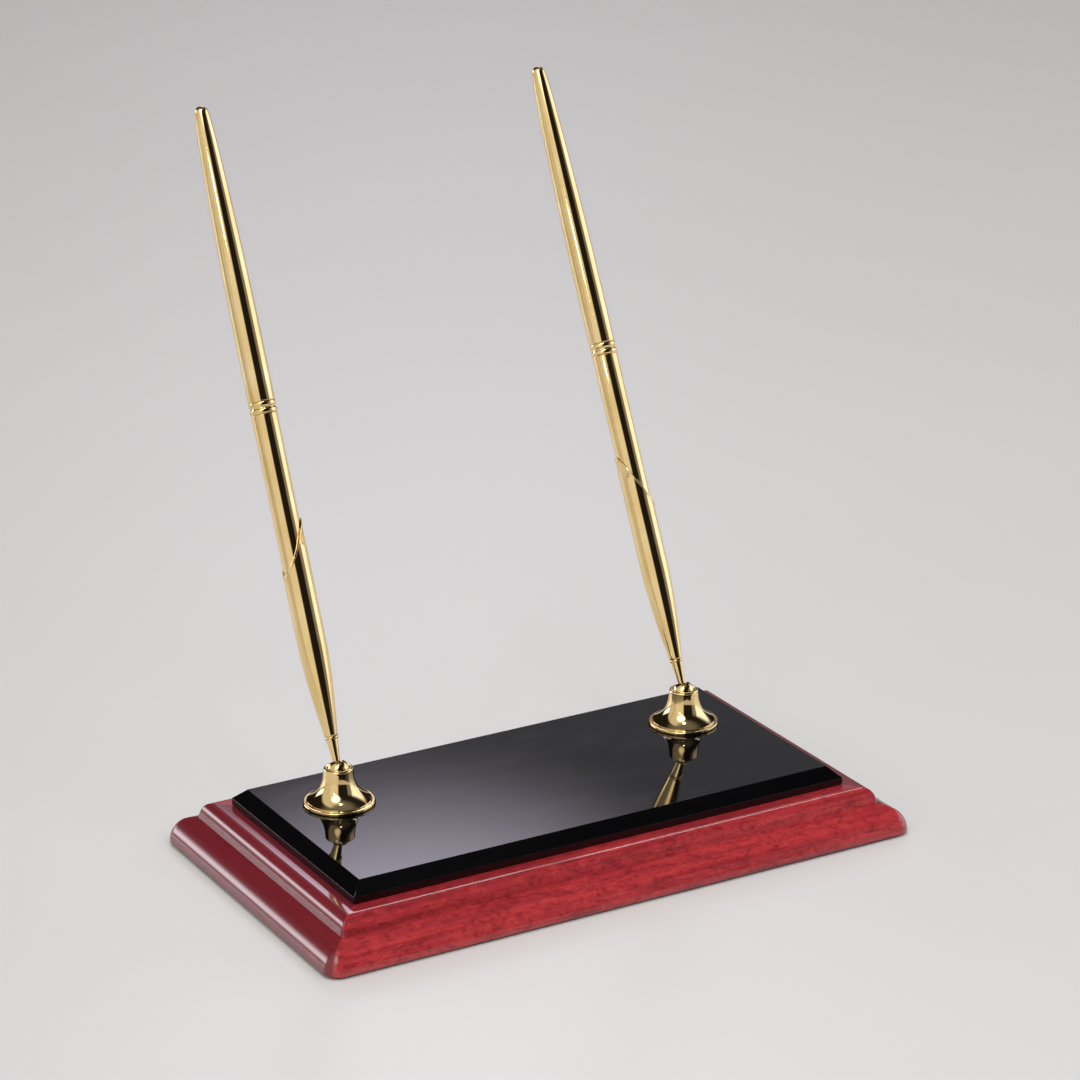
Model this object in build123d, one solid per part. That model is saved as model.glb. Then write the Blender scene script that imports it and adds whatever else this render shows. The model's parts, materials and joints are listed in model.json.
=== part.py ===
from build123d import *
import os
from math import sqrt, sin, cos, asin, radians, degrees, pi

# Double pen stand: a moulded hardwood base, a bevelled black glass plate, two
# trumpet bells with swivel balls, and two slim pens that stand in the balls.
# Millimetres. Origin: centre of the felt's underside. +X to the right of a
# person facing the stand, +Y away from them, +Z up.

# ---------------------------------------------------------------- dimensions
BASE_L, BASE_D = 200.0, 114.0      # hardwood block, outline
FELT_T = 0.6                       # felt under the block
FELT_INSET = 3.0
WOOD_TOP = 14.0                    # flat land that carries the plate
CORNER_R = 5.0                     # plan corner of the lowest edge
FOOT_R = 0.5                       # small round at the block's lowest edge
# lower round of the moulding: (inset from the outline, height), up to the quirk
LOWER_ROUND = [(0.0, 1.1), (0.14, 2.4), (0.78, 4.15), (1.85, 5.7), (3.2, 6.98), (4.8, 7.98), (6.2, 8.60), (7.7, 9.1)]
# upper round: (inset from the quirk, height), up to the land
UPPER_ROUND = [(0.0, 9.1), (0.25, 10.0), (0.8, 11.4), (1.6, 12.75), (2.8, 13.65), (4.3, WOOD_TOP)]
QUIRK = LOWER_ROUND[-1][0]
UPPER_CORNER_R = 1.5

PLATE_INSET = 15.9                 # plate outline from the block's outline
ADHESIVE_T = 0.2
ADHESIVE_INSET = 24.0
PLATE_TOP = 19.8
BEVEL_W, BEVEL_H = 3.7, 3.4

HOLDER_X, HOLDER_Y = 60.8, 14.3    # bell axes
STUD_R = 2.0                       # M4 stud
WOOD_HOLE_R, GLASS_HOLE_R = 2.2, 3.0
COUNTERBORE_R, COUNTERBORE_TOP = 7.0, 5.0
WASHER_R, WASHER_T = 5.5, 0.8
NUT_AF, NUT_T = 7.0, 2.2
DISC_R, DISC_TOP, GASKET_T = 7.2, 2.2, 0.3

BALL_Z = 10.6                      # ball centre above the plate
BALL_R = 3.45
BALL_MOUTH, BALL_FLOOR = 2.7, -2.9 # flats on the ball, from its centre
BALL_BORE_R = 1.75
SOCKET_R = 3.50                    # socket in the bell's neck
LIP_Z = 1.1                        # lip above the ball's centre

LEAN_LEFT, LEAN_RIGHT = 23.4, 26.2   # degrees back from upright
TURN_LEFT, TURN_RIGHT = 177.0, -15.0  # low side of the slanted edge, about the pen

TAIL = 204.0                       # tail of the pen, from the ball's centre
TIP = -5.7                         # writing ball, from the ball's centre
BAND_LO, BAND_HI = 109.3, 113.1    # centre band
LOWER_R, LOWER_BORE = 3.98, 3.50
UPPER_BORE = 3.60
SLEEVE_R, SLEEVE_LIP_R = 4.42, 4.53
SLANT_Z, SLANT_SLOPE = 68.4, 1.85  # slanted edge: height on the axis, rise per mm
NOSE_END = 10.4

os.makedirs("parts", exist_ok=True)


# ------------------------------------------------------------------- helpers
def put(shape, name):
    export_step(shape, "parts/" + name + ".step")


def ring(r_out, r_in, z0, z1):
    return Pos(0, 0, z0) * (
        extrude(Circle(r_out) - Circle(r_in), amount=z1 - z0)
    )


def rod(r, z0, z1):
    return Pos(0, 0, z0) * extrude(Circle(r), amount=z1 - z0)


def turned(*pieces):
    """Revolve a closed (r, z) outline about Z. Each piece is a list of points
    joined by straight lines, or ("curve", points) for a smooth curve."""
    edges, last = [], None
    for piece in pieces:
        smooth = piece[0] == "curve"
        pts = [(p[0], 0, p[1]) for p in (piece[1] if smooth else piece)]
        if last is not None and (Vector(*last) - Vector(*pts[0])).length > 1e-6:
            edges.append(Line(last, pts[0]))
        if smooth:
            edges.append(Spline(*pts))
        else:
            for a, b in zip(pts, pts[1:]):
                if (Vector(*a) - Vector(*b)).length > 1e-6:
                    edges.append(Line(a, b))
        last = pts[-1]
    first = edges[0] @ 0
    if (Vector(*last) - first).length > 1e-6:
        edges.append(Line(last, tuple(first)))
    face = make_face(Curve() + edges)
    return revolve(face, Axis.Z, 360)


def edge_curves(edge, at, limit=None):
    """Curves of a moulded edge in the XY plane, X outward and Y up. at is the
    outline's own X, and edge lists ("line" | "smooth" | "foot", points) from the
    foot upward, each point an inset from the outline and a height.
    limit stops the curves at that inset."""
    out = []
    for kind, pts in edge:
        (i0, z0), (i1, z1) = pts[0], pts[-1]
        if limit is not None and i0 >= limit:
            continue
        if kind == "line":
            if limit is not None and i1 > limit:
                z1 = z0 + (z1 - z0) * (limit - i0) / (i1 - i0)
                i1 = limit
            out.append(Line((at - i0, z0), (at - i1, z1)))
        elif kind == "smooth":
            curve = Spline(*[(at - i, z) for i, z in pts])
            if limit is not None and i1 > limit:
                outer = Plane(origin=(at - limit, 0, 0), z_dir=(1, 0, 0))
                curve = split(curve, bisect_by=outer, keep=Keep.TOP).edges()[0]
            out.append(curve)
        elif kind == "foot":
            # small round, level at its foot and upright at its top
            r = i0 - i1
            mid = (at - i0 + r * sin(pi / 4), z1 - r * cos(pi / 4))
            out.append(ThreePointArc((at - i0, z0), mid, (at - i1, z1)))
    return out


def section(half, edge):
    """Cross-section in the XZ plane of a block with the same edge on both sides."""
    right = edge_curves(edge, half)
    left = [mirror(c, about=Plane.YZ) for c in right]
    low, high = right[0] @ 0, right[-1] @ 1
    face = make_face(Curve() + right + left + [
        Line((-low.X, low.Y), (low.X, low.Y)), Line((-high.X, high.Y), (high.X, high.Y))])
    return Rot(90, 0, 0) * face


def moulded(length, depth, edge, corner=0.0):
    """Block with a moulded edge. Mitred where the moulding is further in than
    the plan corner's radius, and turned about the corner's own centre outside
    it, as a profile cutter leaves it."""
    hx, hy = length / 2, depth / 2
    across = extrude(section(hx, edge), amount=hy + 5, both=True)
    along = Rot(0, 0, 90) * extrude(section(hy, edge), amount=hx + 5, both=True)
    block = across & along
    if corner <= 0:
        return block
    curves = edge_curves(edge, corner, corner)
    low, high = curves[0] @ 0, curves[-1] @ 1
    if low.X > 1e-6:
        curves.append(Line((0, low.Y), (low.X, low.Y)))
    if high.X > 1e-6:
        curves.append(Line((0, high.Y), (high.X, high.Y)))
    curves.append(Line((0, low.Y), (0, high.Y)))
    quarter = revolve(Rot(90, 0, 0) * make_face(Curve() + curves), Axis.Z, 90)
    cx, cy = hx - corner, hy - corner
    for sx, sy, turn in ((1, 1, 0), (-1, 1, 90), (-1, -1, 180), (1, -1, 270)):
        block -= Pos(sx * (cx + 10), sy * (cy + 10), 10) * Box(20, 20, 60)
        block += Pos(sx * cx, sy * cy, 0) * Rot(0, 0, turn) * quarter
    return block


HOLDERS = [(-HOLDER_X, HOLDER_Y), (HOLDER_X, HOLDER_Y)]


def at_holders(shape):
    return [Pos(x, y, 0) * shape for x, y in HOLDERS]


def pair(shape):
    return Compound(children=[s.solid() for s in at_holders(shape)])


# ---------------------------------------------------------------------- base
lower_edge = [
    ("foot", [(FOOT_R, FELT_T), (0.0, FELT_T + FOOT_R)]),
    ("smooth", LOWER_ROUND),
]
upper_edge = [
    ("line", [(0.0, 5.0), UPPER_ROUND[0]]),
    ("smooth", UPPER_ROUND),
]
wood = moulded(BASE_L, BASE_D, lower_edge, CORNER_R)
wood += moulded(BASE_L - 2 * QUIRK, BASE_D - 2 * QUIRK, upper_edge, UPPER_CORNER_R)
for x, y in HOLDERS:
    wood -= Pos(x, y, 0) * rod(WOOD_HOLE_R, 0, WOOD_TOP + 1)
    wood -= Pos(x, y, 0) * rod(COUNTERBORE_R, 0, COUNTERBORE_TOP)
put(wood.solid(), "wood_base")

felt = extrude(RectangleRounded(BASE_L - 2 * FELT_INSET, BASE_D - 2 * FELT_INSET, 3.0), amount=FELT_T)
put(felt.solid(), "base_felt")

PLATE_BOTTOM = WOOD_TOP + ADHESIVE_T
adhesive = Pos(0, 0, WOOD_TOP) * extrude(
    Rectangle(BASE_L - 2 * ADHESIVE_INSET, BASE_D - 2 * ADHESIVE_INSET), amount=ADHESIVE_T)
for x, y in HOLDERS:
    adhesive -= Pos(x, y, 0) * rod(GLASS_HOLE_R + 0.2, WOOD_TOP - 1, WOOD_TOP + 2)
put(adhesive.solid(), "plate_adhesive")

plate_edge = [
    ("line", [(0.0, PLATE_BOTTOM), (0.0, PLATE_TOP - BEVEL_H)]),
    ("line", [(0.0, PLATE_TOP - BEVEL_H), (BEVEL_W, PLATE_TOP)]),
]
plate = moulded(BASE_L - 2 * PLATE_INSET, BASE_D - 2 * PLATE_INSET, plate_edge)
for x, y in HOLDERS:
    plate -= Pos(x, y, 0) * rod(GLASS_HOLE_R, PLATE_BOTTOM - 1, PLATE_TOP + 1)
put(plate.solid(), "black_glass_plate")

# ----------------------------------------------------- fixings of the holders
P = PLATE_TOP
put(pair(ring(GLASS_HOLE_R - 0.05, STUD_R + 0.05, WOOD_TOP, P)), "glass_bushings")
put(pair(ring(DISC_R - 0.2, STUD_R + 0.2, P, P + GASKET_T)), "glass_gaskets")
stud = rod(STUD_R, 1.4, P + DISC_TOP - 0.2)
stud = chamfer(stud.edges(), 0.35)
put(pair(stud), "studs")
put(pair(ring(WASHER_R, STUD_R + 0.15, COUNTERBORE_TOP - WASHER_T, COUNTERBORE_TOP)), "base_washers")
nut = Pos(0, 0, COUNTERBORE_TOP - WASHER_T - NUT_T) * extrude(
    RegularPolygon(NUT_AF / 2, 6, major_radius=False) - Circle(STUD_R), amount=NUT_T)
nut_round = turned([(0, COUNTERBORE_TOP - WASHER_T), (NUT_AF / 2 + 0.5, COUNTERBORE_TOP - WASHER_T),
                    (NUT_AF / 2 + 0.5, COUNTERBORE_TOP - WASHER_T - NUT_T + 0.35),
                    (NUT_AF / 2 - 0.1, COUNTERBORE_TOP - WASHER_T - NUT_T), (0, COUNTERBORE_TOP - WASHER_T - NUT_T)])
put(pair(nut & nut_round), "base_nuts")

# ------------------------------------------------------------------ the bells
lip_r = sqrt(SOCKET_R ** 2 - LIP_Z ** 2)
LIP_TOP = BALL_Z + LIP_Z
BORE_FOOT = BALL_Z - 3.7


def arc_pts(cx, cz, r, a0, a1, n=9):
    return [(cx + r * cos(radians(a0 + (a1 - a0) * k / (n - 1))),
             cz + r * sin(radians(a0 + (a1 - a0) * k / (n - 1)))) for k in range(n)]


socket_hi = degrees(asin(LIP_Z / SOCKET_R))
bell_outline = (
    [(7.25, 0.0), (10.75, 0.0), (11.0, 0.25), (11.0, 0.7)],
    ("curve", arc_pts(10.6, 0.7, 0.4, 0, 90, 5)),
    [(10.6, 1.1), (10.1, 1.1)],
    [(10.1, 1.1), (9.95, 0.98), (9.8, 1.1)],
    [(9.8, 1.1), (9.8, 1.5)],
    ("curve", [(9.8, 1.5), (8.95, 2.0), (7.6, 3.0), (6.4, 4.3), (5.5, 5.9), (4.95, 7.5), (4.66, 9.2), (4.52, 10.8)]),
    [(4.52, 10.8), (4.52, 11.0)],
    ("curve", arc_pts(3.87, 11.05, 0.65, 0, 90, 6)),
    [(3.87, LIP_TOP), (lip_r, LIP_TOP)],
    ("curve", list(reversed(arc_pts(0, BALL_Z, SOCKET_R, 0, socket_hi, 7)))),
    [(SOCKET_R, BALL_Z), (SOCKET_R, BORE_FOOT), (4.0, BORE_FOOT), (4.0, 6.05), (7.25, 2.5), (7.25, 0.0)],
)
bell = turned(*bell_outline)
disc = ring(DISC_R, STUD_R, GASKET_T, DISC_TOP)
for a in (0, 180):
    disc -= Rot(0, 0, a) * Pos(4.8, 0, 0) * rod(0.6, -1, 5)
disc = chamfer(disc.edges().filter_by(GeomType.CIRCLE).group_by(Axis.Z)[-1].filter_by(
    lambda e: e.radius > 6), 0.3)
retaining = ring(3.98, 3.2, 6.1, BORE_FOOT)
for a in (0, 90):
    retaining -= Rot(0, 0, a) * Pos(0, 0, 6.1) * Box(10, 0.8, 0.7)
oring = Pos(0, 0, BALL_Z - 3.35) * Torus(3.15, 0.34)

# seat ring: turns in the neck and cups the ball just below its middle
seat_pts = []
for k in range(7):
    h = 0.9 + (1.72 - 0.9) * k / 6
    seat_pts.append((sqrt(3.49 ** 2 - h ** 2), BALL_Z - h))
seat = turned([(3.46, BALL_Z - 3.0), (3.46, BALL_Z - 0.9), seat_pts[0]], ("curve", seat_pts),
              [seat_pts[-1], (3.0, BALL_Z - 1.95), (3.0, BALL_Z - 3.0)])

# ball, about its own centre, axis along Z
ball = Sphere(BALL_R) & Pos(0, 0, (BALL_MOUTH + BALL_FLOOR) / 2) * Box(8, 8, BALL_MOUTH - BALL_FLOOR)
ball -= rod(BALL_BORE_R, -5, 5)
ball -= rod(1.95, BALL_MOUTH - 0.5, 5)
liner = turned([(1.30, -3.1), (1.70, -2.7), (1.70, BALL_MOUTH - 0.5), (1.90, BALL_MOUTH - 0.5), (1.90, BALL_MOUTH - 0.06),
                (1.42, BALL_MOUTH - 0.06), (1.17, 2.25), (0.83, -3.0), (0.83, -3.1)])


# ------------------------------------------------------------------- the pens
# Along its own Z axis, with the ball's centre at 0.
def t(mm_from_tail):
    return TAIL - mm_from_tail


upper_curve = [(2.22, t(2.5)), (2.47, t(5.0)), (2.75, t(9.0)), (2.98, t(14.0)), (3.20, t(20.0)), (3.41, t(27.0)),
               (3.61, t(35.0)), (3.80, t(43.0)), (3.96, t(52.0)), (4.06, t(62.0)), (4.11, t(74.0))]
upper_barrel = turned(
    [(UPPER_BORE, BAND_HI), (3.95, BAND_HI), (4.12, BAND_HI + 0.2), (4.12, t(84.0)), (4.11, t(74.0))],
    ("curve", list(reversed(upper_curve))),
    ("curve", [(2.22, t(2.5)), (1.93, t(1.2)), (1.22, t(0.33)), (0.0, TAIL)]),
    [(0.0, TAIL), (0.0, t(3.2)), (1.5, t(5.5)), (2.0, t(13.0)), (2.85, t(32.0)), (3.3, t(48.0)), (UPPER_BORE, t(64.0)),
     (UPPER_BORE, BAND_HI)],
)

band_mid = (BAND_LO + BAND_HI) / 2
band = turned(
    [(3.62, BAND_LO), (3.92, BAND_LO)],
    ("curve", [(3.92, BAND_LO), (4.1, BAND_LO + 0.25), (4.2, BAND_LO + 0.8), (4.1, BAND_LO + 1.4), (3.9, band_mid - 0.22)]),
    [(3.9, band_mid - 0.22), (3.9, band_mid + 0.22)],
    ("curve", [(3.9, band_mid + 0.22), (4.1, BAND_HI - 1.4), (4.2, BAND_HI - 0.8), (4.1, BAND_HI - 0.25), (3.92, BAND_HI)]),
    [(3.92, BAND_HI), (3.62, BAND_HI), (3.62, BAND_LO)],
)

coupling = turned([(2.7, 96.0), (LOWER_BORE, 96.0), (LOWER_BORE, BAND_LO), (3.54, BAND_LO), (3.54, 123.4),
                   (3.1, 124.0), (2.7, 124.0), (2.7, 96.0)])

lower_barrel = turned([(LOWER_BORE, 42.0), (LOWER_R, 42.0), (LOWER_R, BAND_LO - 0.2), (LOWER_R - 0.2, BAND_LO),
                       (LOWER_BORE, BAND_LO), (LOWER_BORE, 42.0)])

# front sleeve: straight part, ogive nose, stepped bore
sleeve_blank = turned(
    [(LOWER_R, 90.0), (SLEEVE_R, 90.0), (SLEEVE_R, 39.5)],
    ("curve", [(SLEEVE_R, 39.5), (4.36, 36.5), (4.22, 33.0), (3.98, 29.0), (3.66, 25.0), (3.27, 21.0), (2.83, 17.0),
               (2.36, 13.2), (2.02, NOSE_END)]),
    [(2.02, NOSE_END), (1.22, NOSE_END), (1.22, 13.0), (1.55, 16.0), (1.55, 20.0), (2.6, 27.0), (3.2, 34.0), (3.2, 42.0),
     (LOWER_R, 42.0), (LOWER_R, 90.0)],
)
lip_band = ring(SLEEVE_LIP_R, LOWER_R, 50.0, 90.0)


def above_slant(z):
    """Half-space above the slanted plane that crosses the axis at height z."""
    plane = Plane(origin=(0, 0, z), x_dir=(1, 0, -SLANT_SLOPE), z_dir=(SLANT_SLOPE, 0, 1))
    return plane * Pos(0, 0, 40) * Box(160, 160, 80)


sleeve = sleeve_blank - above_slant(SLANT_Z)
lip_piece = (lip_band - above_slant(SLANT_Z)) & above_slant(SLANT_Z - 1.15)
front_sleeve = sleeve + lip_piece

nose_ring = turned([(1.22, NOSE_END - 0.9), (1.9, NOSE_END - 0.9)],
                   ("curve", [(1.9, NOSE_END - 0.9), (2.07, NOSE_END - 0.72), (2.12, NOSE_END - 0.45),
                              (2.07, NOSE_END - 0.18), (1.9, NOSE_END)]),
                   [(1.9, NOSE_END), (1.22, NOSE_END), (1.22, NOSE_END - 0.9)])

CONE_TOP = NOSE_END - 0.9
nose_cone = turned([(1.22, CONE_TOP), (1.78, CONE_TOP)],
                   ("curve", [(1.78, CONE_TOP), (1.62, 7.8), (1.36, 5.2), (1.125, BALL_MOUTH)]),
                   [(1.125, BALL_MOUTH), (0.76, -3.0), (0.56, -3.0), (0.56, 2.0), (0.75, 3.0), (0.75, 7.5), (1.22, 8.6),
                    (1.22, CONE_TOP)])

refill_point = turned([(0.0, 19.0), (1.15, 19.0), (1.15, 8.9), (0.7, 7.9), (0.7, 3.2), (0.52, 2.4), (0.52, -4.1),
                       (0.36, TIP + 0.42), (0.0, TIP + 0.42), (0.0, 19.0)])
refill_point -= Pos(0, 0, TIP + 0.35) * Sphere(0.355)
writing_ball = Pos(0, 0, TIP + 0.35) * Sphere(0.35)
refill_tube = turned([(1.15, 17.0), (1.5, 17.5), (1.5, 150.0), (1.2, 150.0), (1.2, 19.2), (1.15, 19.2), (1.15, 17.0)])
refill_plug = turned([(0.0, 146.0), (1.2, 146.0), (1.2, 150.0), (1.5, 150.0), (1.4, 152.0), (0.0, 152.0), (0.0, 146.0)])

# -------------------------------------------------------------- left and right
for side, x, lean, turn in (("left", -HOLDER_X, LEAN_LEFT, TURN_LEFT),
                            ("right", HOLDER_X, LEAN_RIGHT, TURN_RIGHT)):
    seat_at = Pos(x, HOLDER_Y, P)
    pen_at = Pos(x, HOLDER_Y, P + BALL_Z) * Rot(-lean, 0, 0) * Rot(0, 0, turn)
    put((seat_at * bell).solid(), side + "_bell")
    put((seat_at * disc).solid(), side + "_base_disc")
    put((seat_at * retaining).solid(), side + "_retaining_ring")
    put((seat_at * oring).solid(), side + "_friction_oring")
    put((seat_at * seat).solid(), side + "_seat_ring")
    put((pen_at * ball).solid(), side + "_swivel_ball")
    put((pen_at * liner).solid(), side + "_pen_liner")
    put((pen_at * upper_barrel).solid(), side + "_upper_barrel")
    put((pen_at * band).solid(), side + "_centre_band")
    put((pen_at * coupling).solid(), side + "_coupling")
    put((pen_at * lower_barrel).solid(), side + "_lower_barrel")
    put((pen_at * front_sleeve).solid(), side + "_front_sleeve")
    put((pen_at * nose_ring).solid(), side + "_nose_ring")
    put((pen_at * nose_cone).solid(), side + "_nose_cone")
    put((pen_at * refill_tube).solid(), side + "_refill_tube")
    put((pen_at * refill_plug).solid(), side + "_refill_plug")
    put((pen_at * refill_point).solid(), side + "_refill_point")
    put((pen_at * writing_ball).solid(), side + "_writing_ball")
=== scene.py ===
import bpy
import bmesh
import json
import numpy as np
from math import sin, cos, pi, radians, degrees, sqrt, atan2, asin, acos, tan, floor as ffloor
from mathutils import Matrix, Vector, noise


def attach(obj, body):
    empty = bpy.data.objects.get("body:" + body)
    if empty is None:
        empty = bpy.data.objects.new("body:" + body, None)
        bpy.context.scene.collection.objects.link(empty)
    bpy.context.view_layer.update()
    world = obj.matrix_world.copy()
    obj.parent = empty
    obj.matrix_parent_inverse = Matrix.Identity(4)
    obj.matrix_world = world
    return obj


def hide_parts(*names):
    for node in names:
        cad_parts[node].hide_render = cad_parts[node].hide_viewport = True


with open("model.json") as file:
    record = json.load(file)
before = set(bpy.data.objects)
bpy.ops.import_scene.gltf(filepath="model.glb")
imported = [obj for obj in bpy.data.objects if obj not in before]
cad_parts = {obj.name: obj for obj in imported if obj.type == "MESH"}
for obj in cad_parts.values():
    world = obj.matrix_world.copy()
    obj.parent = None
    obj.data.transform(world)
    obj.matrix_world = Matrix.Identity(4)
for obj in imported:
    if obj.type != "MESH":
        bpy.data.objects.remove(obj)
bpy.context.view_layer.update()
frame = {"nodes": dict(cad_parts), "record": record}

MM = 0.001
scene = bpy.context.scene

# ------------------------------------------------------------------ dimensions
# Millimetres, the same frame as the solids: origin at the centre of the felt's
# underside, +X to the right, +Y to the back, +Z up.
BASE_L, BASE_D = 200.0, 114.0
FELT_T, FELT_INSET = 0.6, 3.0
WOOD_TOP, CORNER_R, FOOT_R, UPPER_CORNER_R = 14.0, 5.0, 0.5, 1.5
LOWER_ROUND = [(0.0, 1.1), (0.14, 2.4), (0.78, 4.15), (1.85, 5.7), (3.2, 6.98), (4.8, 7.98), (6.2, 8.60), (7.7, 9.1)]
UPPER_ROUND = [(0.0, 9.1), (0.25, 10.0), (0.8, 11.4), (1.6, 12.75), (2.8, 13.65), (4.3, WOOD_TOP)]
QUIRK = LOWER_ROUND[-1][0]
PLATE_INSET, PLATE_BOTTOM, PLATE_TOP = 15.9, 14.2, 19.8
BEVEL_W, BEVEL_H = 3.7, 3.4
HOLDER_X, HOLDER_Y = 60.8, 14.3
P = PLATE_TOP
BALL_Z, BALL_R, BALL_MOUTH, BALL_FLOOR = 10.6, 3.45, 2.7, -2.9
SOCKET_R, LIP_Z = 3.50, 1.1
LEAN = {"left": 23.4, "right": 26.2}
TURN = {"left": 177.0, "right": -15.0}
SIDE_X = {"left": -HOLDER_X, "right": HOLDER_X}
TAIL, TIP = 204.0, -5.7
BAND_LO, BAND_HI = 109.3, 113.1
LOWER_R, LOWER_BORE, UPPER_BORE = 3.98, 3.50, 3.60
SLEEVE_R, SLEEVE_LIP_R = 4.42, 4.53
SLANT_Z, SLANT_SLOPE, NOSE_END = 68.4, 1.85, 10.4


# --------------------------------------------------------------- mesh builders
def tail_z(mm_from_tail):
    return TAIL - mm_from_tail


def smooth_through(pts, per=5):
    """Natural cubic through (r, z) points, chord-length parameter."""
    p = np.array(pts, float)
    n = len(p)
    if n < 3:
        return [tuple(q) for q in p]
    t = np.concatenate([[0], np.cumsum(np.linalg.norm(np.diff(p, axis=0), axis=1))])
    h = np.diff(t)
    A = np.zeros((n, n))
    B = np.zeros((n, 2))
    A[0, 0] = A[-1, -1] = 1
    for i in range(1, n - 1):
        A[i, i - 1], A[i, i], A[i, i + 1] = h[i - 1], 2 * (h[i - 1] + h[i]), h[i]
        B[i] = 6 * ((p[i + 1] - p[i]) / h[i] - (p[i] - p[i - 1]) / h[i - 1])
    M = np.linalg.solve(A, B)
    out = []
    for i in range(n - 1):
        for k in range(per):
            s = t[i] + h[i] * k / per
            a, b = (t[i + 1] - s) / h[i], (s - t[i]) / h[i]
            q = a * p[i] + b * p[i + 1] + ((a ** 3 - a) * M[i] + (b ** 3 - b) * M[i + 1]) * h[i] ** 2 / 6
            out.append((float(q[0]), float(q[1])))
    out.append((float(p[-1][0]), float(p[-1][1])))
    return out


def arc_pts(cx, cz, r, a0, a1, n=9):
    return [(cx + r * cos(radians(a0 + (a1 - a0) * k / (n - 1))),
             cz + r * sin(radians(a0 + (a1 - a0) * k / (n - 1)))) for k in range(n)]


def softened(pts, closed=True, steps=4):
    """Rounds each corner given as (r, z, radius). Corners without a radius stay."""
    clean = []
    for q in pts:
        q = (float(q[0]), float(q[1]), float(q[2]) if len(q) > 2 else 0.0)
        if clean and abs(clean[-1][0] - q[0]) < 1e-7 and abs(clean[-1][1] - q[1]) < 1e-7:
            clean[-1] = (q[0], q[1], max(clean[-1][2], q[2]))
            continue
        clean.append(q)
    if closed and len(clean) > 2 and abs(clean[0][0] - clean[-1][0]) < 1e-7 and abs(clean[0][1] - clean[-1][1]) < 1e-7:
        clean.pop()
    out, n = [], len(clean)
    for i, (r, z, f) in enumerate(clean):
        if f <= 0 or (not closed and i in (0, n - 1)):
            out.append((r, z))
            continue
        a, b, c = Vector(clean[i - 1][:2]), Vector((r, z)), Vector(clean[(i + 1) % n][:2])
        u, v = a - b, c - b
        lu, lv = u.length, v.length
        if lu < 1e-9 or lv < 1e-9:
            out.append((r, z))
            continue
        u, v = u / lu, v / lv
        ang = acos(max(-1, min(1, u.dot(v))))
        if ang > radians(176) or ang < radians(4):
            out.append((r, z))
            continue
        cut = min(f / tan(ang / 2), 0.46 * lu, 0.46 * lv)
        rad = cut * tan(ang / 2)
        centre = b + (u + v).normalized() * (rad / sin(ang / 2))
        s, e = b + u * cut, b + v * cut
        a0, a1 = atan2(s.y - centre.y, s.x - centre.x), atan2(e.y - centre.y, e.x - centre.x)
        d = (a1 - a0 + pi) % (2 * pi) - pi
        for k in range(steps + 1):
            t = a0 + d * k / steps
            out.append((centre.x + rad * cos(t), centre.y + rad * sin(t)))
    return out


def to_object(bm, name, matrix=None, sharp=38.0, weighted=False):
    bmesh.ops.remove_doubles(bm, verts=bm.verts, dist=1e-8)
    bmesh.ops.recalc_face_normals(bm, faces=bm.faces)
    mesh = bpy.data.meshes.new(name)
    bm.to_mesh(mesh)
    bm.free()
    for f in mesh.polygons:
        f.use_smooth = True
    mesh.set_sharp_from_angle(angle=radians(sharp))
    obj = bpy.data.objects.new(name, mesh)
    scene.collection.objects.link(obj)
    if matrix is not None:
        obj.matrix_world = matrix
    if weighted:
        bake_modifier(obj, "WEIGHTED_NORMAL", keep_sharp=True, mode="FACE_AREA", weight=80)
    return obj


def bake_modifier(obj, kind, **settings):
    m = obj.modifiers.new(kind.title(), kind)
    for k, v in settings.items():
        setattr(m, k, v)
    bpy.context.view_layer.update()
    dg = bpy.context.evaluated_depsgraph_get()
    done = bpy.data.meshes.new_from_object(obj.evaluated_get(dg), preserve_all_data_layers=True, depsgraph=dg)
    obj.modifiers.clear()
    old = obj.data
    obj.data = done
    done.name = old.name
    bpy.data.meshes.remove(old)
    return obj


def swept_round(stations, name, matrix=None, seg=112, closed=True, sharp=38.0):
    """Grid about Z. Each station is (r, z), or a function of the angle that
    gives (r, z). A station of radius 0 is one point on the axis."""
    bm = bmesh.new()
    rings = []
    for st in stations:
        if not callable(st) and st[0] < 1e-6:
            rings.append([bm.verts.new((0, 0, st[1] * MM))])
            continue
        row = []
        for k in range(seg):
            a = 2 * pi * k / seg
            r, z = st(a) if callable(st) else (st[0], st[1])
            row.append(bm.verts.new((r * MM * cos(a), r * MM * sin(a), z * MM)))
        rings.append(row)
    n = len(rings)
    for i in range(n if closed else n - 1):
        a, b = rings[i], rings[(i + 1) % n]
        if len(a) == 1 and len(b) == 1:
            continue
        for k in range(seg):
            m = (k + 1) % seg
            if len(a) == 1:
                bm.faces.new((a[0], b[m], b[k]))
            elif len(b) == 1:
                bm.faces.new((a[k], a[m], b[0]))
            else:
                bm.faces.new((a[k], a[m], b[m], b[k]))
    return to_object(bm, name, matrix, sharp)


def rect_loop(hx, hy, rad, z, n=10):
    """Rounded rectangle, anticlockwise, the same number of points for any radius."""
    pts = []
    for sx, sy, a0 in ((1, 1, 0), (-1, 1, 90), (-1, -1, 180), (1, -1, 270)):
        cx, cy = sx * (hx - rad), sy * (hy - rad)
        for k in range(n + 1):
            a = radians(a0 + 90 * k / n)
            pts.append((cx + rad * cos(a), cy + rad * sin(a), z))
    return pts


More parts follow.
